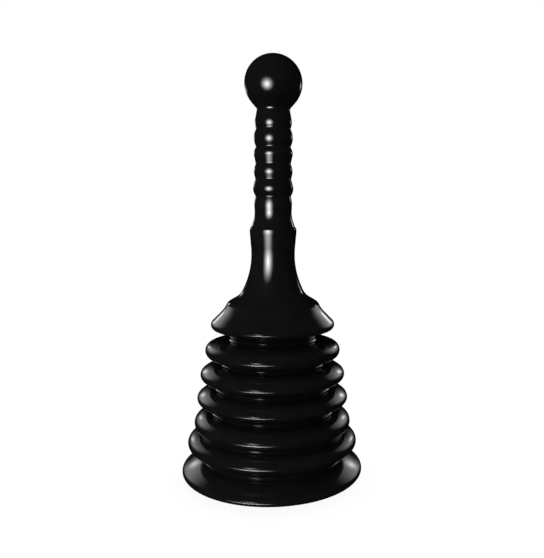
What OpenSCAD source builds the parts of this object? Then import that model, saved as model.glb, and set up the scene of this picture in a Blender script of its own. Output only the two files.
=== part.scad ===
// Sink plunger: a ball knob, a ribbed grip and a waisted neck on an accordion bellows cup.
// Millimetres, +Z up. The origin is the centre of the sealing lip's flat bottom face, where the
// plunger stands in the sink. Every round outline is a chain of circles joined by their common
// tangents: a circle with a positive radius bulges outwards, one with a negative radius is a hollow.

/* [Bellows] */
// Outer radius of the top fold's crest
top_crest_r = 43.4; // [43:0.1:46]
// How much wider each fold is than the one above it, from the top down
crest_step = [4, 3.4, 2.3, 2, 4.6, 4.1]; // [2:0.1:5]
// Height from each crest to the next, from the top fold down
crest_pitch = [18.1, 17, 16.6, 17.3, 14.1, 20.1]; // [14:0.1:21]
// Rounding radius of each crest, from the top fold down
crest_round = [3.3, 5, 3.9, 3.3, 5, 4.3, 3]; // [3:0.1:5]
// Height of the lowest crest above the sink
low_crest_z = 7.3; // [7:0.1:9]
// Depth of each groove below the crest above it, from the top down
groove_depth = [13.5, 12.5, 11.5, 11.5, 11.5, 11.5]; // [10:0.5:14]
// Rounding radius at the bottom of those grooves
groove_round = 2; // [1.5:0.1:2]
// Thickness of the bellows' wall
bellows_wall = 2; // [1.6:0.1:2.2]
// Thickness of the flat crown that the neck is clamped to
crown_t = 3; // [2.5:0.1:4]
// Height of the crown above the top crest
crown_rise = 14; // [13:0.5:14]

/* [Sealing lip] */
// Radius of the open mouth
mouth_r = 45; // [43:0.5:46]
// Outer radius of the lip's bottom face
lip_r = 52; // [51:0.5:53]
// Thickness of the rubber below the bellows' rim
lip_t = 2.5; // [2:0.1:2.5]

/* [Neck] */
// Height of the neck from the crown to the grip
neck_h = 54.5; // [52:0.5:60]
// Radius of the rounded rim at the neck's top
rim_r = 16.3; // [16:0.1:17]
// Radius at the neck's narrowest place
waist_r = 15.2; // [15:0.1:16]
// Height of the narrowest place above the crown
waist_h = 35.2; // [35:0.1:36]
// Thickness of the neck's wall
neck_wall = 3; // [2.5:0.1:3]

/* [Grip] */
// Length of each rib from groove to groove, from the ball down
rib_len = [12.5, 12.5, 11.5, 10.5, 12, 11]; // [10:0.5:14]
// Where each rib is widest, as a share of its length from its top
rib_peak = [0.65, 0.5, 0.4, 0.5, 0.55, 0.55]; // [0.35:0.05:0.65]
// Outer radius of each rib
rib_r = [12.8, 13.5, 13.5, 13.4, 14, 13.1]; // [12.8:0.1:14.5]
// Radius of the finger groove above each rib
finger_r = [11.5, 12, 12.1, 12.2, 12.5, 12.4]; // [11.5:0.1:12.5]
// Length of the flared tail below the last rib
tail_len = 10; // [10:0.5:14]
// Radius of the tail where it is narrowest
tail_r = 12.9; // [12.5:0.1:12.9]

/* [Ball knob] */
// Radius of the ball
ball_r = 20; // [18:0.5:22]

/* [Fasteners] */
// Diameter of the tie rod
rod_d = 8; // [6:0.5:8]
// Width of the nut across its flats
nut_af = 13; // [12:0.5:14]
// Diameter of the two washers under the crown
washer_d = 30; // [24:1:34]

/* [Hidden] */
$fn = 96;
arc_tol = 0.03;                   // how far an outline's straight steps may lie from its arcs
seat_gap = 0.05;                  // gap between two pieces that plug into each other
bore_gap = 0.1;                   // radial gap around the rod in a plain hole
thread_gap = 0.02;                // radial gap around the rod in a threaded part
cut = 1;                          // how far a cut runs past the face that it opens
blend_gap = 0.1;                  // room left between two nested curves, so that a tangent exists

n_folds = len(crest_round);
crest_r = [for (i = [0 : n_folds - 1]) top_crest_r + sum_from(crest_step, 0) - sum_from(crest_step, i)];
crest_z = [for (i = [0 : n_folds - 1]) low_crest_z + sum_from(crest_pitch, i)];
crown_z = crest_z[0] + crown_rise;
grip_z = crown_z + neck_h;

n_ribs = len(rib_len);
finger_z = [for (i = [0 : n_ribs]) grip_z + tail_len + sum_from(rib_len, i)];
rib_z = [for (i = [0 : n_ribs - 1]) finger_z[i] - rib_peak[i] * rib_len[i]];
finger_round = 1.2;               // rounding at the bottom of each finger groove
tail_round = 20;                  // largest rounding of the tail's hollow
grip_top = finger_z[0];

ball_fillet = 3;                  // hollow curve from the ball into the groove under it
fillet_gap = 0.45;                // how far that curve stands off the ball
ball_reach = ball_r + ball_fillet + fillet_gap;
ball_z = grip_top + sqrt(pow(ball_reach, 2) - pow(finger_r[0] + ball_fillet, 2));

shoulder_hollow = 21;             // hollow curve between the crown and the top fold
shoulder_out = 8.1;               // its centre's distance outside the top crest
shoulder_up = 23;                 // and its height above that crest
shoulder_z = crest_z[0] + shoulder_up;
seam_angle = asin((shoulder_z - crown_z) / shoulder_hollow);  // slope where neck and crown meet
foot_r = crest_r[0] + shoulder_out - shoulder_hollow * cos(seam_angle);
crown_corner = 1;                 // rounding inside, under the crown's edge

lip_cover = 2.5;                  // rubber between the mouth and the bellows' rim
lip_top_t = 2;                    // rubber above the rim
lip_step = 1;                     // how far the upper part of the lip is set in from its foot
lip_edge = 0.8;                   // rounding of the lip's edges
flange_r = mouth_r + lip_cover;   // inner edge of the bellows' flat rim; it turns up at lip_r
flange_ease = 0.5;                // how much further out the inside of the wall turns up
rod_r = rod_d / 2;

rim_round = 15;                   // gentle curve of the neck's rim where it is widest
rim_drop = 3.7;                   // how far below the grip that is
rim_edge = 3;                     // tighter rounding of the rim's top
rim_turn = 6;                     // angle at which one rounding runs into the other
rim_reach = rim_round - rim_edge + blend_gap;
rim_end = asin((rim_drop - rim_reach * sin(rim_turn)) / rim_edge);
flare_r = rim_r - rim_round + rim_reach * cos(rim_turn) + rim_edge * cos(rim_end);  // end of the grip
sweep_round = 55;                 // largest hollow curve of the neck's waist
shoulder_round = 12;              // hollow curve above the foot, which carries the sweep on
shoulder_angle = 27.5;            // where that curve starts on the sweep, below its middle
foot_round = 5;                   // rounding of the foot, which runs smoothly into the crown
neck_web = 6;                     // solid top of the neck
spigot_h = 8;                     // plug that locates the neck in the grip
cavity_top = grip_z - neck_web;
boss_r = 7.5;                     // tube around the rod inside the neck
rib_t = 2;                        // ribs between that tube and the neck's wall

grip_bore = 9.5;                  // hollow inside of the grip
grip_web = 4;                     // solid top of the grip
fullness = 0.95;                  // share of the largest rounding that fits between two hollows

insert_r = 7;                     // threaded brass insert in the ball
insert_h = 18;
insert_groove = 1;                // depth of the groove that keys the insert in the ball
insert_thread = 15;               // depth of the insert's blind thread
rod_engage = 14;                  // length of rod inside the insert

seal_t = 2;
washer_t = 1.5;
nut_h = 6.5;
rod_tail = 3;                     // rod left standing below the nut
rod_chamfer = 0.8;
nut_z = crown_z - crown_t - seal_t - washer_t - nut_h;

// Sum of a list from entry i to its end
function sum_from(list, i) = i < len(list) ? list[i] + sum_from(list, i + 1) : 0;

// Smallest turn from angle a to angle b
function turn(a, b) = (b - a) - 360 * round((b - a) / 360);

// Angle of the outward normal on the tangent line that leaves circle a and meets circle b.
// A circle is [centre radius, centre height, rounding radius].
function tangent(a, b) =
  atan2(b[1] - a[1], b[0] - a[0]) + acos((a[2] - b[2]) / norm([b[0] - a[0], b[1] - a[1]]));

// Points along one circle of an outline while the normal turns from angle a0 to angle a1
function arc(c, a0, a1) =
  c[2] == 0
    ? [[c[0], c[1]]]
    : let (widest = 2 * acos(1 - arc_tol / abs(c[2])),
           steps = max(1, ceil(abs(turn(a0, a1)) / widest)))
      [for (k = [0 : steps])
        let (a = a0 + turn(a0, a1) * k / steps)
        [c[0] + c[2] * cos(a), c[1] + c[2] * sin(a)]];

// Outline around a chain of circles, from normal angle a0 on the first to a1 on the last
function outline(c, a0, a1) =
  [for (i = [0 : len(c) - 1])
    let (from = i == 0 ? a0 : tangent(c[i - 1], c[i]),
         to = i == len(c) - 1 ? a1 : tangent(c[i], c[i + 1]))
    each arc(c[i], from, to)];

// The same outline moved inwards by one wall thickness
function shrink(c, wall) = [for (p = c) [p[0], p[1], p[2] - wall]];

function reversed(list) = [for (i = [len(list) - 1 : -1 : 0]) list[i]];

// Crest and groove circles of the bellows, with the hollow shoulder above the top crest
function fold_circles() = concat(
  [[crest_r[0] + shoulder_out, shoulder_z, -shoulder_hollow]],
  [for (i = [0 : n_folds - 1])
    each concat(
      [[crest_r[i] - crest_round[i], crest_z[i], crest_round[i]]],
      i < n_folds - 1
        ? [[crest_r[i] - groove_depth[i] + groove_round, (crest_z[i] + crest_z[i + 1]) / 2, -groove_round]]
        : [])]);

// Radius of the circle that rises by a given height over a given length of handle
function rise_round(rise, length) =
  let (h = max(rise, blend_gap))
  (pow(length, 2) + pow(h, 2)) / (2 * h);

// Radius of the waist's hollow curve, limited by the rim above it
function sweep() =
  min(sweep_round,
      fullness * rise_round(rim_r - waist_r, neck_h - rim_drop - waist_h) - rim_round);

// Rounded rim at the neck's top
function rim_circles() =
  let (r = rim_r - rim_round, z = grip_z - rim_drop)
  [[r + rim_reach * cos(rim_turn), z + rim_reach * sin(rim_turn), rim_edge], [r, z, rim_round]];

// Waist, hollow shoulder and rounded foot of the neck
function neck_circles() =
  let (reach = sweep() - shoulder_round + blend_gap,
       middle = [waist_r + sweep(), crown_z + waist_h])
  [[middle[0], middle[1], -sweep()],
   [middle[0] - reach * cos(shoulder_angle), middle[1] - reach * sin(shoulder_angle), -shoulder_round],
   [foot_r - foot_round * cos(seam_angle), crown_z - foot_round * sin(seam_angle), foot_round]];

// Rounding of the tail's hollow, limited by the last rib above it and the flared edge below it
function tail_hollow() =
  let (last = n_ribs - 1,
       above = rise_round(rib_r[last] - tail_r, rib_z[last] - finger_z[n_ribs]),
       below = rise_round(flare_r - tail_r, tail_len))
  min(tail_round, above / 2, fullness * below);

// Rounding of rib i, limited by the hollow above it and the one below it
function rib_round(i) =
  let (is_last = i == n_ribs - 1,
       below_r = is_last ? tail_r : finger_r[i + 1],
       below_round = is_last ? tail_hollow() : finger_round,
       above = fullness * rise_round(rib_r[i] - finger_r[i], finger_z[i] - rib_z[i]),
       below = fullness * rise_round(rib_r[i] - below_r, rib_z[i] - finger_z[i + 1]))
  min(above - finger_round, below - below_round);

// Finger grooves and ribs of the grip, down to its flared end
function grip_circles() = concat(
  [for (i = [0 : n_ribs - 1])
    each [[finger_r[i] + finger_round, finger_z[i], -finger_round],
          [rib_r[i] - rib_round(i), rib_z[i], rib_round(i)]]],
  [[tail_r + tail_hollow(), finger_z[n_ribs], -tail_hollow()],
   [flare_r, grip_z, 0]]);

module revolve(points) {
  rotate_extrude()
    polygon(points);
}

// Cylinder along the axis, from z0 to z1
module post(r, z0, z1) {
  translate([0, 0, z0])
    cylinder(r = r, h = z1 - z0);
}

module bellows() {
  flange_top = lip_t + bellows_wall;
  corner_r = foot_r - 2 * crown_corner - bellows_wall;
  outer = outline(concat(fold_circles(), [[lip_r, lip_t, 0]]), seam_angle, 0);
  inner = outline(
    concat(
      [[corner_r, crown_z - crown_t - crown_corner, crown_corner]],
      shrink(fold_circles(), bellows_wall),
      [[lip_r + flange_ease, flange_top, 0]]),
    90, 0);
  color("#141414")
    revolve(concat(
      [[rod_r + bore_gap, crown_z]], outer, [[flange_r, lip_t], [flange_r, flange_top]],
      reversed(inner),
      [[rod_r + bore_gap, crown_z - crown_t]]));
}

// Channel of soft rubber that grips the bellows' rim and lies flat on the sink
module sealing_lip() {
  top = lip_t + bellows_wall + lip_top_t;
  in_r = mouth_r + lip_edge;
  clip_r = lip_r - lip_step - lip_edge;
  color("#1c1c1c")
    difference() {
      revolve(outline(
        [[in_r, top - lip_edge, lip_edge], [clip_r, top - lip_edge, lip_edge],
         [lip_r - lip_edge, lip_edge, lip_edge], [in_r, lip_edge, lip_edge],
         [in_r, top - lip_edge, lip_edge]],
        180, 180));
      revolve([
        [flange_r - seat_gap, lip_t - seat_gap], [lip_r + cut, lip_t - seat_gap],
        [lip_r + cut, lip_t + bellows_wall + seat_gap],
        [flange_r - seat_gap, lip_t + bellows_wall + seat_gap]]);
    }
}

// Space inside the neck's wall, open at the foot
module neck_cavity() {
  start = -asin((cavity_top - crown_z - waist_h) / (sweep() + neck_wall));
  inner = outline(shrink(neck_circles(), neck_wall), start, seam_angle);
  revolve(concat([[0, cavity_top]], inner, [[0, crown_z - cut]]));
}

// Hollow cone with a tube around the rod, so that both press on the crown
module neck() {
  spigot_r = grip_bore - seat_gap;
  spigot_top = grip_z + spigot_h;
  outer = outline(concat(rim_circles(), neck_circles()), rim_end, seam_angle);
  color("#141414")
    difference() {
      union() {
        difference() {
          revolve(concat(
            [[0, spigot_top], [spigot_r, spigot_top], [spigot_r, grip_z]], outer, [[0, crown_z]]));
          neck_cavity();
        }
        post(boss_r, crown_z, cavity_top);
        intersection() {
          neck_cavity();
          for (a = [0, 90])
            rotate(a)
              translate([-foot_r, -rib_t / 2, crown_z])
                cube([2 * foot_r, rib_t, cavity_top - crown_z]);
        }
      }
      post(rod_r + bore_gap, crown_z - cut, spigot_top + cut);
    }
}

module grip() {
  color("#141414")
    difference() {
      revolve(concat([[0, grip_top]], outline(grip_circles(), 0, 0), [[0, grip_z]]));
      post(grip_bore, grip_z - cut, grip_top - grip_web);
      post(rod_r + bore_gap, grip_z, grip_top + cut);
    }
}

// Outline of the brass insert, with a keying groove half way up
function insert_outline(gap) =
  let (r = insert_r + gap, mid = insert_h / 2, g = insert_groove)
  [[0, 0], [r, 0], [r, mid - 2 * g], [r - g, mid - g], [r - g, mid + g], [r, mid + 2 * g],
   [r, insert_h + gap], [0, insert_h + gap]];

module knob_insert() {
  color("#b08d43")
    translate([0, 0, grip_top])
      difference() {
        revolve(insert_outline(0));
        post(rod_r + thread_gap, -cut, insert_thread);
      }
}

module ball_knob() {
  color("#141414")
    difference() {
      union() {
        translate([0, 0, ball_z])
          sphere(r = ball_r);
        revolve(concat(
          outline([[0, ball_z, ball_r], [finger_r[0] + ball_fillet, grip_top, -ball_fillet]], 0, 0),
          [[0, grip_top], [0, ball_z]]));
      }
      post(ball_r, ball_z - ball_r - cut, grip_top);
      translate([0, 0, grip_top])
        revolve(insert_outline(thread_gap));
    }
}

module tie_rod() {
  z0 = nut_z - rod_tail;
  z1 = grip_top + rod_engage;
  c = rod_chamfer;
  color("#a8aaad")
    revolve([[0, z0], [rod_r - c, z0], [rod_r, z0 + c], [rod_r, z1 - c], [rod_r - c, z1], [0, z1]]);
}

module washer(z, t, gap) {
  translate([0, 0, z])
    difference() {
      cylinder(d = washer_d, h = t);
      post(rod_r + gap, -cut, t + cut);
    }
}

module seal_washer() {
  color("#262626")
    washer(crown_z - crown_t - seal_t, seal_t, thread_gap);
}

module clamp_washer() {
  color("#a8aaad")
    washer(crown_z - crown_t - seal_t - washer_t, washer_t, bore_gap);
}

// Hex nut with its corners turned off at both ends
module lock_nut() {
  corner = nut_af / 2 / cos(30);
  c = corner - nut_af / 2;
  color("#a8aaad")
    translate([0, 0, nut_z])
      difference() {
        intersection() {
          cylinder(r = corner, h = nut_h, $fn = 6);
          revolve([[0, 0], [corner - c, 0], [corner, c / 2], [corner, nut_h - c / 2],
                   [corner - c, nut_h], [0, nut_h]]);
        }
        post(rod_r + thread_gap, -cut, nut_h + cut);
      }
}

sealing_lip();
bellows();
neck();
grip();
ball_knob();
knob_insert();
tie_rod();
seal_washer();
clamp_washer();
lock_nut();
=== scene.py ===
import math

import bmesh
import bpy
from mathutils import Matrix, Vector


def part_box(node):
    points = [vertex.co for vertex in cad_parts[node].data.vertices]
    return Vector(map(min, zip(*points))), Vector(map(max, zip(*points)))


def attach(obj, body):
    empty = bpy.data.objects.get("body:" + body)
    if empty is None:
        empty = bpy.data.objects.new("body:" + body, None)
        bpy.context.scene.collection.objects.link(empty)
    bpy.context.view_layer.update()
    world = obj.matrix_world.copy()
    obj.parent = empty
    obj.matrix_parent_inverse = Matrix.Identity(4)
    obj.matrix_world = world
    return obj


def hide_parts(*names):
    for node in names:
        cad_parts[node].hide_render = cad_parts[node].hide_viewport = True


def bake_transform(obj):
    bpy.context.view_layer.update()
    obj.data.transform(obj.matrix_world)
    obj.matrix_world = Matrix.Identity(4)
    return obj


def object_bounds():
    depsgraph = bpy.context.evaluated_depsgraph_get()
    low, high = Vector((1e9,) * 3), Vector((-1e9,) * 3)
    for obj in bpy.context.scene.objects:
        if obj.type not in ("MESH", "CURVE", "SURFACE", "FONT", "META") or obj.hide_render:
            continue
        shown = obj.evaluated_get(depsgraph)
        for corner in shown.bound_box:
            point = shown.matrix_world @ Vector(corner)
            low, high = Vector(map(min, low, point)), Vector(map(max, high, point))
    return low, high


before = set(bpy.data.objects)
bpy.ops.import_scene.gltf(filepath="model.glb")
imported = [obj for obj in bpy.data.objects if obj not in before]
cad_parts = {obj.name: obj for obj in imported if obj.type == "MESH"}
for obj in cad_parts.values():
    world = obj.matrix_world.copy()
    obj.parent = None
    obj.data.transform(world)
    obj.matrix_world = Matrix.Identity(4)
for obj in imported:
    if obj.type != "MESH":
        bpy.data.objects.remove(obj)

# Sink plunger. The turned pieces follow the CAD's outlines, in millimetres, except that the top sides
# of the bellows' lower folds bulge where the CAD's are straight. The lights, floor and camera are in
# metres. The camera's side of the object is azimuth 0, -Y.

MM = 0.001
cad_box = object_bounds()

# Heights and radii that the frame gives
CROWN_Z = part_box("neck")[0].z / MM            # top of the bellows, where the neck stands
GRIP_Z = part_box("grip")[0].z / MM             # flared bottom edge of the grip
GRIP_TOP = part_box("grip")[1].z / MM           # groove under the ball
SPIGOT_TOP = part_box("neck")[1].z / MM
LIP_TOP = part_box("sealing_lip")[1].z / MM
LIP_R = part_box("sealing_lip")[1].x / MM
INSERT_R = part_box("knob_insert")[1].x / MM
INSERT_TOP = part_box("knob_insert")[1].z / MM
ROD_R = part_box("tie_rod")[1].x / MM
BALL_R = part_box("ball_knob")[1].x / MM
BALL_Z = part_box("ball_knob")[1].z / MM - BALL_R

BORE_GAP = 0.1
HOLE_R = ROD_R + BORE_GAP                     # plain hole around the tie rod


# ------------------------------------------------------------------ outlines
# An outline is a chain of circles joined by their common tangents: (radius, height, rounding).
# A positive rounding bulges outwards, a negative one is a hollow, and 0 is a sharp corner.
ARC_TOLERANCE = 0.002                         # how far a step on an arc may lie inside it
ARC_STEP = 1.0                                # longest step on an arc
ARC_TURN = 0.2                                # largest turn in one step, in radians
STRAIGHT_STEP = 1.2                           # longest step on a straight stretch
SAME_POINT = 1e-5


def tangent(a, b):
    """Angle of the outward normal on the tangent line from circle a to circle b."""
    across, rise = b[0] - a[0], b[1] - a[1]
    ratio = (a[2] - b[2]) / math.hypot(across, rise)
    return math.atan2(rise, across) + math.acos(max(-1.0, min(1.0, ratio)))


def arc(circle, start, swing):
    """Points along one circle, close enough together for smooth reflections."""
    r, z, rounding = circle
    if rounding == 0:
        return [(r, z)]
    size = abs(rounding)
    step = min(2 * math.acos(1 - ARC_TOLERANCE / max(size, ARC_TOLERANCE)), ARC_STEP / size, ARC_TURN)
    count = max(1, math.ceil(abs(swing) / step))
    angles = [start + swing * k / count for k in range(count + 1)]
    return [(r + rounding * math.cos(a), z + rounding * math.sin(a)) for a in angles]


def outline(circles, start, end):
    """Points around a chain of circles, from normal angle start on the first to end on the last."""
    points = []
    angle = math.radians(start)
    for i, circle in enumerate(circles):
        last = i == len(circles) - 1
        leave = math.radians(end) if last else tangent(circle, circles[i + 1])
        swing = (leave - angle + math.pi) % (2 * math.pi) - math.pi
        points += arc(circle, angle, swing)
        angle = leave
    return points


def filled(points):
    """The same outline with its long straight stretches divided."""
    out = [points[0]]
    for a, b in zip(points, points[1:]):
        gap = math.dist(a, b)
        if gap < SAME_POINT:
            continue
        parts = max(1, math.ceil(gap / STRAIGHT_STEP))
        out += [(a[0] + (b[0] - a[0]) * k / parts, a[1] + (b[1] - a[1]) * k / parts)
                for k in range(1, parts + 1)]
    return out


def shrink(circles, wall):
    """The same chain moved inwards by one wall thickness."""
    return [(r, z, rounding - wall) for r, z, rounding in circles]


# ------------------------------------------------------------------ bellows and lip
TOP_CREST_R = 43.4
CREST_STEP = [4, 3.4, 2.3, 2, 4.6, 4.1]
CREST_PITCH = [18.1, 17, 16.6, 17.3, 14.1, 20.1]
CREST_ROUND = [3.3, 5, 3.9, 3.3, 5, 4.3, 3]
LOW_CREST_Z = 7.3
GROOVE_DEPTH = [13.5, 12.5, 11.5, 11.5, 11.5, 11.5]
GROOVE_ROUND = 2.0
FLANK_ROUND = [60, 17, 17, 13, 17, 60]        # rounding of the bulge on top of each fold below the first
BELLOWS_WALL = 2.0
CROWN_T = 3.0
SHOULDER = (8.1, 23.0, 21.0)                  # hollow above the top crest: out, up, rounding
FOOT_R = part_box("neck")[1].x / MM             # the neck's foot
CROWN_CORNER = 1.0
JOINT_EDGE = 0.3                              # broken edge of the bellows, under the neck
RIM_Z = 2.5
RIM_EASE = 0.5
LIP_COVER = 2.5
LIP_STEP = 1.0
LIP_EDGE = 0.8
LIP_GAP = 0.05                                # room around the rim in the lip's slot
SLOT_INSET = 0.3                              # the slot's lower edge is this far inside the lip
MOUTH_R = 45.0
FOLDS = len(CREST_ROUND)
CREST_R = [TOP_CREST_R + sum(CREST_STEP[:i]) for i in range(FOLDS)]
CREST_Z = [LOW_CREST_Z + sum(CREST_PITCH[i:]) for i in range(FOLDS)]
SEAM_ANGLE = math.degrees(math.asin((CREST_Z[0] + SHOULDER[1] - CROWN_Z) / SHOULDER[2]))


def flank(groove, crest, rounding):
    """The circle of a given rounding that leaves a groove and runs smoothly into a crest."""
    across, rise = crest[0] - groove[0], crest[1] - groove[1]
    gap = math.hypot(across, rise)
    reach, span = rounding - groove[2], rounding - crest[2]
    along = (reach ** 2 + gap ** 2 - span ** 2) / (2 * gap)
    inward = math.sqrt(reach ** 2 - along ** 2)
    return (groove[0] + (along * across + inward * rise) / gap,
            groove[1] + (along * rise - inward * across) / gap, rounding)


def fold_circles():
    """Hollow shoulder, crests, grooves and flanks of the bellows, from the top down."""
    out, up, rounding = SHOULDER
    circles = [(CREST_R[0] + out, CREST_Z[0] + up, -rounding)]
    for i in range(FOLDS):
        crest = (CREST_R[i] - CREST_ROUND[i], CREST_Z[i], CREST_ROUND[i])
        if i > 0:
            root_r = CREST_R[i - 1] - GROOVE_DEPTH[i - 1] + GROOVE_ROUND
            groove = (root_r, (CREST_Z[i - 1] + CREST_Z[i]) / 2, -GROOVE_ROUND)
            circles += [groove, flank(groove, crest, FLANK_ROUND[i - 1])]
        circles.append(crest)
    return circles


def bellows_outline():
    rim_r = MOUTH_R + LIP_COVER
    rim_top = RIM_Z + BELLOWS_WALL
    folds = fold_circles()
    hollow_r, hollow_z, hollow = folds[0]
    across = math.sqrt((JOINT_EDGE - hollow) ** 2 - (hollow_z - CROWN_Z + JOINT_EDGE) ** 2)
    edge = (hollow_r - across, CROWN_Z - JOINT_EDGE, JOINT_EDGE)
    outer = outline([edge] + folds + [(LIP_R, RIM_Z, 0)], 90, 0)
    corner_r = FOOT_R - 2 * CROWN_CORNER - BELLOWS_WALL
    corner = (corner_r, CROWN_Z - CROWN_T - CROWN_CORNER, CROWN_CORNER)
    inner = outline([corner] + shrink(folds, BELLOWS_WALL) + [(LIP_R + RIM_EASE, rim_top, 0)], 90, 0)
    return ([(HOLE_R, CROWN_Z)] + outer + [(rim_r, RIM_Z), (rim_r, rim_top)]
            + inner[::-1] + [(HOLE_R, CROWN_Z - CROWN_T)])


def lip_outline():
    in_r = MOUTH_R + LIP_EDGE
    clip_r = LIP_R - LIP_STEP - LIP_EDGE
    foot_r = LIP_R - LIP_EDGE
    top = outline([(in_r, LIP_TOP - LIP_EDGE, LIP_EDGE), (clip_r, LIP_TOP - LIP_EDGE, LIP_EDGE)], 180, 0)
    slot_r = MOUTH_R + LIP_COVER - LIP_GAP
    slot_top = RIM_Z + BELLOWS_WALL + LIP_GAP
    slot_low = RIM_Z - LIP_GAP
    slot = [(clip_r + LIP_EDGE, slot_top), (slot_r, slot_top), (slot_r, slot_low),
            (LIP_R - SLOT_INSET, slot_low)]
    foot = outline([(foot_r, LIP_EDGE, LIP_EDGE), (in_r, LIP_EDGE, LIP_EDGE)], 0, 180)
    return top + slot + foot


# ------------------------------------------------------------------ neck, grip and ball
SWEEP_ROUND = 55.0
WAIST_R = 15.2
WAIST_H = 35.2
NECK_SHOULDER_ROUND = 12.0
NECK_SHOULDER_ANGLE = math.radians(27.5)
FOOT_ROUND = 5.0
RIM_R = 16.3
RIM_ROUND = 15.0
RIM_DROP = 3.7
RIM_EDGE = 3.0
RIM_TURN = math.radians(6)
NECK_WALL = 3.0
NECK_WEB = 6.0
BOSS_R = 7.5
BLEND_GAP = 0.1
SPIGOT_R = 9.45
RIM_REACH = RIM_ROUND - RIM_EDGE + BLEND_GAP
RIM_END = math.asin((RIM_DROP - RIM_REACH * math.sin(RIM_TURN)) / RIM_EDGE)
FLARE_R = RIM_R - RIM_ROUND + RIM_REACH * math.cos(RIM_TURN) + RIM_EDGE * math.cos(RIM_END)

RIB_LEN = [12.5, 12.5, 11.5, 10.5, 12, 11]
RIB_PEAK = [0.65, 0.5, 0.4, 0.5, 0.55, 0.55]
RIB_R = [12.8, 13.5, 13.5, 13.4, 14, 13.1]
FINGER_R = [11.5, 12, 12.1, 12.2, 12.5, 12.4]
FINGER_ROUND = 1.2
TAIL_LEN = 10.0
TAIL_R = 12.9
TAIL_ROUND = 20.0
FULLNESS = 0.95
GRIP_BORE = 9.5
GRIP_WEB = 4.0
BALL_FILLET = 3.0
INSERT_GAP = 0.02
RIBS = len(RIB_LEN)


def rim_circles():
    """Rounded rim at the neck's top."""
    r, z = RIM_R - RIM_ROUND, GRIP_Z - RIM_DROP
    return [(r + RIM_REACH * math.cos(RIM_TURN), z + RIM_REACH * math.sin(RIM_TURN), RIM_EDGE),
            (r, z, RIM_ROUND)]


def neck_circles():
    """Waist, hollow shoulder and rounded foot of the neck."""
    reach = SWEEP_ROUND - NECK_SHOULDER_ROUND + BLEND_GAP
    r, z = WAIST_R + SWEEP_ROUND, CROWN_Z + WAIST_H
    across, drop = reach * math.cos(NECK_SHOULDER_ANGLE), reach * math.sin(NECK_SHOULDER_ANGLE)
    lean = math.radians(SEAM_ANGLE)
    return [(r, z, -SWEEP_ROUND), (r - across, z - drop, -NECK_SHOULDER_ROUND),
            (FOOT_R - FOOT_ROUND * math.cos(lean), CROWN_Z - FOOT_ROUND * math.sin(lean), FOOT_ROUND)]


def above(points, z):
    """The start of an outline, down to where it crosses a height."""
    kept = [p for p in points if p[1] > z]
    last, below = kept[-1], points[len(kept)]
    share = (last[1] - z) / (last[1] - below[1])
    return kept + [(last[0] + (below[0] - last[0]) * share, z)]


def neck_outline():
    cavity_top = GRIP_Z - NECK_WEB
    start = -math.degrees(math.asin((cavity_top - CROWN_Z - WAIST_H) / (SWEEP_ROUND + NECK_WALL)))
    body = neck_circles()
    outer = outline(rim_circles() + body, math.degrees(RIM_END), SEAM_ANGLE)
    inner = above(outline(shrink(body, NECK_WALL), start, SEAM_ANGLE), CROWN_Z)
    return ([(HOLE_R, SPIGOT_TOP), (SPIGOT_R, SPIGOT_TOP), (SPIGOT_R, GRIP_Z)] + outer
            + inner[::-1] + [(BOSS_R, cavity_top), (BOSS_R, CROWN_Z), (HOLE_R, CROWN_Z)])


def rise_round(rise, length):
    """Radius of the circle that rises by a given height over a given length of handle."""
    rise = max(rise, BLEND_GAP)
    return (length ** 2 + rise ** 2) / (2 * rise)


def grip_circles():
    """Finger grooves and ribs of the grip, down to its flared end."""
    finger_z = [GRIP_Z + TAIL_LEN + sum(RIB_LEN[i:]) for i in range(RIBS + 1)]
    below_r = FINGER_R[1:] + [TAIL_R]
    circles = []
    for i in range(RIBS):
        rib_z = finger_z[i] - RIB_PEAK[i] * RIB_LEN[i]
        upper = FULLNESS * rise_round(RIB_R[i] - FINGER_R[i], finger_z[i] - rib_z) - FINGER_ROUND
        hollow = TAIL_ROUND if i == RIBS - 1 else FINGER_ROUND
        lower = FULLNESS * rise_round(RIB_R[i] - below_r[i], rib_z - finger_z[i + 1]) - hollow
        rounding = min(upper, lower)
        circles.append((FINGER_R[i] + FINGER_ROUND, finger_z[i], -FINGER_ROUND))
        circles.append((RIB_R[i] - rounding, rib_z, rounding))
    return circles + [(TAIL_R + TAIL_ROUND, finger_z[RIBS], -TAIL_ROUND), (FLARE_R, GRIP_Z, 0)]


def grip_outline():
    web_z = GRIP_TOP - GRIP_WEB
    return ([(HOLE_R, GRIP_TOP)] + outline(grip_circles(), 0, 0)
            + [(GRIP_BORE, GRIP_Z), (GRIP_BORE, web_z), (HOLE_R, web_z)])


def ball_outline():
    pocket_r = INSERT_R + INSERT_GAP
    pocket_top = INSERT_TOP + INSERT_GAP
    outer = outline([(0, BALL_Z, BALL_R), (FINGER_R[0] + BALL_FILLET, GRIP_TOP, -BALL_FILLET)], 90, 0)
    return outer + [(pocket_r, GRIP_TOP), (pocket_r, pocket_top), (0, pocket_top)]


# ------------------------------------------------------------------ turned meshes
TURNS = 256
SEAM = math.radians(90)                       # the first column of points is at the back
CREASE = math.radians(32)                     # edges sharper than this stay crisp


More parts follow.
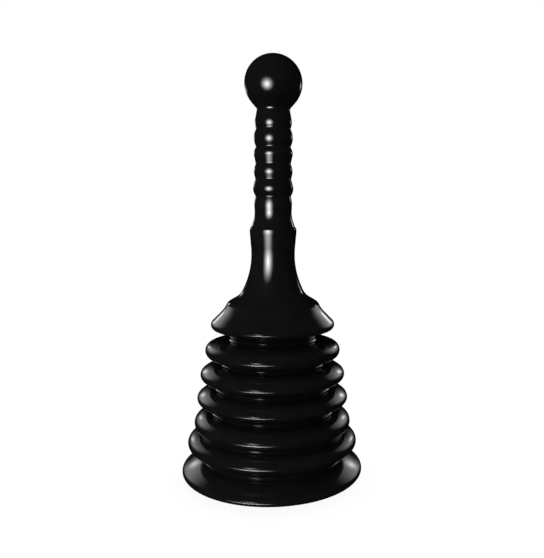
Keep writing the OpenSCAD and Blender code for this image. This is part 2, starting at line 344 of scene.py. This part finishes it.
def turned(name, points):
    """A closed solid of revolution from an outline."""
    on_axis = points[0][0] == 0
    ring_points = filled(points)
    if not on_axis:
        ring_points = filled(ring_points + [ring_points[0]])[:-1]
    bm = bmesh.new()
    rings = []
    for r, z in ring_points:
        if r == 0:
            rings.append([bm.verts.new((0, 0, z * MM))])
            continue
        ring = []
        for k in range(TURNS):
            angle = SEAM + 2 * math.pi * k / TURNS
            ring.append(bm.verts.new((r * MM * math.cos(angle), r * MM * math.sin(angle), z * MM)))
        rings.append(ring)
    pairs = list(zip(rings, rings[1:]))
    if not on_axis:
        pairs.append((rings[-1], rings[0]))
    for a, b in pairs:
        for k in range(TURNS):
            n = (k + 1) % TURNS
            if len(a) == 1:
                bm.faces.new((a[0], b[k], b[n]))
            elif len(b) == 1:
                bm.faces.new((a[k], b[0], a[n]))
            else:
                bm.faces.new((a[k], b[k], b[n], a[n]))
    bmesh.ops.recalc_face_normals(bm, faces=bm.faces)
    return as_object(name, bm)


def as_object(name, bm):
    """A smooth-shaded object. Its rest attribute holds the points for the materials to follow."""
    mesh = bpy.data.meshes.new(name)
    bm.to_mesh(mesh)
    bm.free()
    mesh.shade_smooth()
    mesh.set_sharp_from_angle(angle=CREASE)
    rest = mesh.attributes.new("rest", "FLOAT_VECTOR", "POINT")
    rest.data.foreach_set("vector", [c for v in mesh.vertices for c in v.co])
    obj = bpy.data.objects.new(name, mesh)
    bpy.context.scene.collection.objects.link(obj)
    return obj


# ------------------------------------------------------------------ materials
RANGE_INPUTS = ("From Min", "From Max", "To Min", "To Max")


class Shader:
    """A Principled material with a few helpers, so that each material reads as a short recipe."""

    def __init__(self, name, on_piece):
        self.mat = bpy.data.materials.new(name)
        self.mat.use_nodes = True
        self.tree = self.mat.node_tree
        self.tree.nodes.clear()
        out = self.node("ShaderNodeOutputMaterial")
        self.bsdf = self.node("ShaderNodeBsdfPrincipled")
        self.link(self.bsdf.outputs["BSDF"], out.inputs["Surface"])
        if on_piece:
            place = self.node("ShaderNodeAttribute")
            place.attribute_name = "rest"
            self.place = place.outputs["Vector"]
        else:
            self.place = self.node("ShaderNodeTexCoord").outputs["Object"]

    def node(self, kind, **settings):
        made = self.tree.nodes.new(kind)
        for key, value in settings.items():
            setattr(made, key, value)
        return made

    def link(self, a, b):
        self.tree.links.new(a, b)

    def set(self, **values):
        for key, value in values.items():
            self.bsdf.inputs[key.replace("_", " ")].default_value = value

    def noise(self, size_mm, low=0.0, high=1.0, detail=3.0, stretch=(1, 1, 1)):
        """Soft noise whose features are about size_mm across, scaled to low ... high."""
        scaled = self.node("ShaderNodeVectorMath", operation="MULTIPLY")
        scaled.inputs[1].default_value = [s / (size_mm * MM) for s in stretch]
        self.link(self.place, scaled.inputs[0])
        tex = self.node("ShaderNodeTexNoise")
        tex.inputs["Scale"].default_value = 1.0
        tex.inputs["Detail"].default_value = detail
        self.link(scaled.outputs[0], tex.inputs["Vector"])
        return self.spread(tex.outputs["Fac"], 0.3, 0.7, low, high)

    def spread(self, value, from_low, from_high, low, high):
        """A value moved from one range to another."""
        ramp = self.node("ShaderNodeMapRange")
        for key, number in zip(RANGE_INPUTS, (from_low, from_high, low, high)):
            ramp.inputs[key].default_value = number
        self.link(value, ramp.inputs["Value"])
        return ramp.outputs["Result"]

    def colour(self, factor, dark, light):
        mix = self.node("ShaderNodeMix", data_type="RGBA")
        mix.inputs["A"].default_value = (*dark, 1)
        mix.inputs["B"].default_value = (*light, 1)
        self.link(factor, mix.inputs["Factor"])
        self.link(mix.outputs["Result"], self.bsdf.inputs["Base Color"])

    def bump(self, *layers):
        """Bump layers, each a height value from 0 to 1 and its depth in millimetres."""
        normal = None
        for height, depth in layers:
            bump = self.node("ShaderNodeBump")
            bump.inputs["Strength"].default_value = 1.0
            bump.inputs["Distance"].default_value = depth * MM
            self.link(height, bump.inputs["Height"])
            if normal:
                self.link(normal, bump.inputs["Normal"])
            normal = bump.outputs["Normal"]
        self.link(normal, self.bsdf.inputs["Normal"])


def black_plastic(name, roughness, wave_depth):
    """Glossy black moulded plastic: slow waves from cooling, faint grain, and small gloss changes."""
    s = Shader(name, True)
    s.colour(s.noise(9, detail=4), (0.017, 0.017, 0.0175), (0.022, 0.022, 0.0225))
    s.link(s.noise(6, roughness - 0.02, roughness + 0.02), s.bsdf.inputs["Roughness"])
    s.set(IOR=1.5)
    s.bump((s.noise(8, detail=1.0), wave_depth), (s.noise(0.25, detail=2.0), 0.0004))
    return s.mat


def rubber(name, on_piece):
    """Dull black rubber with a fine grain."""
    s = Shader(name, on_piece)
    s.colour(s.noise(4), (0.020, 0.020, 0.020), (0.032, 0.031, 0.030))
    s.link(s.noise(2, 0.55, 0.72), s.bsdf.inputs["Roughness"])
    s.bump((s.noise(0.35), 0.01))
    return s.mat


def metal(name, dark, light, roughness, brushed):
    """Turned metal whose streaks run around the axis."""
    s = Shader(name, False)
    s.set(Metallic=1.0)
    s.colour(s.noise(2.5), dark, light)
    s.link(s.noise(0.8, roughness - 0.06, roughness + 0.08, stretch=brushed), s.bsdf.inputs["Roughness"])
    s.bump((s.noise(0.3, stretch=brushed), 0.004))
    return s.mat


handle_plastic = black_plastic("handle_plastic", 0.12, 0.003)
bellows_plastic = black_plastic("bellows_plastic", 0.14, 0.012)
lip_rubber = rubber("lip_rubber", True)
washer_rubber = rubber("washer_rubber", False)
brass = metal("brass", (0.62, 0.42, 0.16), (0.80, 0.58, 0.26), 0.28, (1, 1, 6))
steel = metal("zinc_steel", (0.50, 0.51, 0.53), (0.68, 0.69, 0.70), 0.32, (1, 1, 5))


def piece(obj, mat, node, body=None):
    """Give a piece its material and its body, and hide the CAD node that it stands for."""
    obj.data.materials.append(mat)
    if body:
        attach(obj, body)
    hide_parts(node)
    return obj


bellows = piece(turned("bellows_skin", bellows_outline()), bellows_plastic, "bellows")
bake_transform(bellows)
lip = piece(turned("lip_ring", lip_outline()), lip_rubber, "sealing_lip", "foot")
neck = piece(turned("neck_shell", neck_outline()), handle_plastic, "neck", "handle")
grip = piece(turned("grip_sleeve", grip_outline()), handle_plastic, "grip", "handle")
ball = piece(turned("ball_shell", ball_outline()), handle_plastic, "ball_knob", "handle")

# The CAD nodes that a piece stands for are hidden, and get the washer's rubber
NODE_LOOKS = {"knob_insert": brass, "tie_rod": steel, "clamp_washer": steel, "lock_nut": steel,
              "seal_washer": washer_rubber, "sealing_lip": washer_rubber, "bellows": washer_rubber,
              "neck": washer_rubber, "grip": washer_rubber, "ball_knob": washer_rubber}
for name, mat in NODE_LOOKS.items():
    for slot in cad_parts[name].material_slots:
        slot.material = mat


# ------------------------------------------------------------------ light
KEY_AZ = -25.6                                # the three keys stand at this azimuth
EDGE_FADE = 2.2                               # how fast a lamp dims from its centre to its rim
GLOW_FADE = 1.3
BOX_DISTANCE = 0.9
FILL_ANGLE = math.radians(100)
ROOM_STRENGTH = 0.12
HANDLE_AIM = (0, 0, 0.2)
CUP_AIM = (0, 0, 0.06)
MIDDLE = (0, 0, 0.15)


def around(azimuth, distance, height):
    """A place round the object: azimuth 0 is the camera's side, positive to the right."""
    a = math.radians(azimuth)
    return Vector((distance * math.sin(a), -distance * math.cos(a), height))


def lamp(name, kind, place, target, power, **settings):
    data = bpy.data.lights.new(name, kind)
    data.energy = power
    for key, value in settings.items():
        setattr(data, key, value)
    obj = bpy.data.objects.new(name, data)
    obj.location = place
    obj.rotation_euler = (Vector(target) - place).to_track_quat("-Z", "Y").to_euler()
    obj.visible_camera = False
    bpy.context.scene.collection.objects.link(obj)
    return obj


def glossy_only(obj, receivers=None):
    """A light that makes highlights and adds nothing to the base tone, on all pieces or on some."""
    obj.visible_diffuse = False
    if receivers:
        lit = bpy.data.collections.new(obj.name + "_lights")
        for receiver in receivers:
            lit.objects.link(receiver)
        obj.light_linking.receiver_collection = lit


def diffuse_only(obj):
    """A light that lifts the base tone and makes no highlights."""
    obj.visible_glossy = False


def soft_edge(obj, fade=EDGE_FADE):
    """Let a lamp fade from its centre to nothing at its rim, as a studio box does."""
    obj.data.use_nodes = True
    tree = obj.data.node_tree
    where = tree.nodes.new("ShaderNodeNewGeometry")
    centred = tree.nodes.new("ShaderNodeVectorMath")
    centred.operation = "SUBTRACT"
    centred.inputs[1].default_value = (0.5, 0.5, 0)
    tree.links.new(where.outputs["Parametric"], centred.inputs[0])
    length = tree.nodes.new("ShaderNodeVectorMath")
    length.operation = "LENGTH"
    tree.links.new(centred.outputs[0], length.inputs[0])
    inside = tree.nodes.new("ShaderNodeMapRange")
    for key, number in zip(RANGE_INPUTS, (0, 0.5, 1, 0)):
        inside.inputs[key].default_value = number
    tree.links.new(length.outputs["Value"], inside.inputs["Value"])
    power = tree.nodes.new("ShaderNodeMath")
    power.operation = "POWER"
    power.inputs[1].default_value = fade
    tree.links.new(inside.outputs["Result"], power.inputs[0])
    tree.links.new(power.outputs[0], tree.nodes["Emission"].inputs["Strength"])
    return obj


handle_parts = [ball, grip, neck]
cup_parts = [bellows, lip]
glossy_only(soft_edge(lamp("key", "AREA", around(KEY_AZ, 0.45, 0.181), HANDLE_AIM, 20,
                           shape="DISK", size=0.50)), handle_parts)
glossy_only(soft_edge(lamp("low_key", "AREA", around(KEY_AZ, 0.34, -0.16), CUP_AIM, 4.0,
                           shape="ELLIPSE", size=0.46, size_y=0.06)), cup_parts)
glossy_only(soft_edge(lamp("level_key", "AREA", around(KEY_AZ, 0.45, 0.02), CUP_AIM, 1.0,
                           shape="DISK", size=0.20)), cup_parts)

# Studio boxes behind the object: name, azimuth, height, power, and the pieces they light (None is all)
BOXES = (("left", -152, 0.30, 1.0, None), ("right", 149, 0.34, 1.4, cup_parts),
         ("right_high", 137, 0.34, 1.0, handle_parts))
for name, azimuth, height, power, pieces in BOXES:
    glossy_only(soft_edge(lamp(name + "_core", "AREA", around(azimuth, BOX_DISTANCE, height), MIDDLE, power,
                               shape="RECTANGLE", size=0.26, size_y=0.26)), pieces)

# Wide dim glows around the boxes, on the cup only
for name, azimuth in (("left", -138), ("right", 136)):
    glossy_only(soft_edge(lamp(name + "_glow", "AREA", around(azimuth, BOX_DISTANCE, 0.40), MIDDLE, 4.6,
                               shape="RECTANGLE", size=1.0, size_y=0.80), GLOW_FADE), cup_parts)

diffuse_only(lamp("fill", "SUN", around(-75, 1.0, 0.5), MIDDLE, 0.55, angle=FILL_ANGLE))
diffuse_only(lamp("front_fill", "SUN", around(-10, 1.0, 0.6), MIDDLE, 0.32, angle=FILL_ANGLE))

world = bpy.data.worlds.new("studio")
bpy.context.scene.world = world
world.use_nodes = True
tree = world.node_tree
tree.nodes.clear()
output = tree.nodes.new("ShaderNodeOutputWorld")
ray = tree.nodes.new("ShaderNodeLightPath")
choose = tree.nodes.new("ShaderNodeMixShader")
room = tree.nodes.new("ShaderNodeBackground")
backdrop = tree.nodes.new("ShaderNodeBackground")
room.inputs["Strength"].default_value = ROOM_STRENGTH
backdrop.inputs["Color"].default_value = (1, 1, 1, 1)
backdrop.inputs["Strength"].default_value = 1.0
tree.links.new(ray.outputs["Is Camera Ray"], choose.inputs["Fac"])
tree.links.new(room.outputs["Background"], choose.inputs[1])
tree.links.new(backdrop.outputs["Background"], choose.inputs[2])
tree.links.new(choose.outputs["Shader"], output.inputs["Surface"])
world.cycles_visibility.glossy = False


# ------------------------------------------------------------------ floor
FLOOR_HALF = 8.0
PAINTED_SHADOW_REACH = 0.02                          # how far around the object the painted contact shadow on the floor reaches
PAINTED_SHADOW_TONE = 0.94                           # the floor's brightness in the painted contact shadow right under the object


def pale_floor():
    """A white floor that glows evenly, with a painted contact shadow: its glow darkens softly where the
    object stands close to it.
    """
    mesh = bpy.data.meshes.new("floor")
    half = FLOOR_HALF
    corners = [(-half, -half, 0), (half, -half, 0), (half, half, 0), (-half, half, 0)]
    mesh.from_pydata(corners, [], [(0, 1, 2, 3)])
    obj = bpy.data.objects.new("floor", mesh)
    obj.location.z = cad_box[0][2]
    bpy.context.scene.collection.objects.link(obj)
    mat = bpy.data.materials.new("pale_floor")
    mat.use_nodes = True
    nodes, links = mat.node_tree.nodes, mat.node_tree.links
    nodes.clear()
    out = nodes.new("ShaderNodeOutputMaterial")
    glow = nodes.new("ShaderNodeEmission")
    # Painted contact shadow: ambient occlusion dims the floor's glow near the object
    painted_shadow_ao = nodes.new("ShaderNodeAmbientOcclusion")
    painted_shadow_ao.inputs["Distance"].default_value = PAINTED_SHADOW_REACH
    ramp = nodes.new("ShaderNodeMapRange")
    ramp.inputs["To Min"].default_value = PAINTED_SHADOW_TONE
    links.new(painted_shadow_ao.outputs["AO"], ramp.inputs["Value"])
    links.new(ramp.outputs["Result"], glow.inputs["Strength"])
    links.new(glow.outputs["Emission"], out.inputs["Surface"])
    mesh.materials.append(mat)
    obj.visible_glossy = False
    obj.visible_diffuse = False
    obj.visible_shadow = False


pale_floor()

# ------------------------------------------------------------------ camera
CAMERA_PLACE = (0, -0.4688, 0.1959)
YAW = math.radians(3.92)
PITCH = math.radians(4.92)                    # downwards
ROLL = math.radians(0.46)

camera_data = bpy.data.cameras.new("camera")
camera = bpy.data.objects.new("camera", camera_data)
bpy.context.scene.collection.objects.link(camera)
bpy.context.scene.camera = camera
camera_data.sensor_width = 36.0
camera_data.lens = 43.1
camera_data.shift_x = -0.0837
camera_data.shift_y = -0.0337
camera_data.clip_start = 0.01
ahead = Vector((math.sin(YAW) * math.cos(PITCH), math.cos(YAW) * math.cos(PITCH), -math.sin(PITCH)))
level = Vector((math.cos(YAW), -math.sin(YAW), 0))
upward = level.cross(ahead)
side = math.cos(ROLL) * level + math.sin(ROLL) * upward
top = -math.sin(ROLL) * level + math.cos(ROLL) * upward
turn = Matrix((side, top, -ahead)).transposed().to_4x4()
camera.matrix_world = Matrix.Translation(CAMERA_PLACE) @ turn

bpy.context.scene.view_settings.view_transform = "Standard"
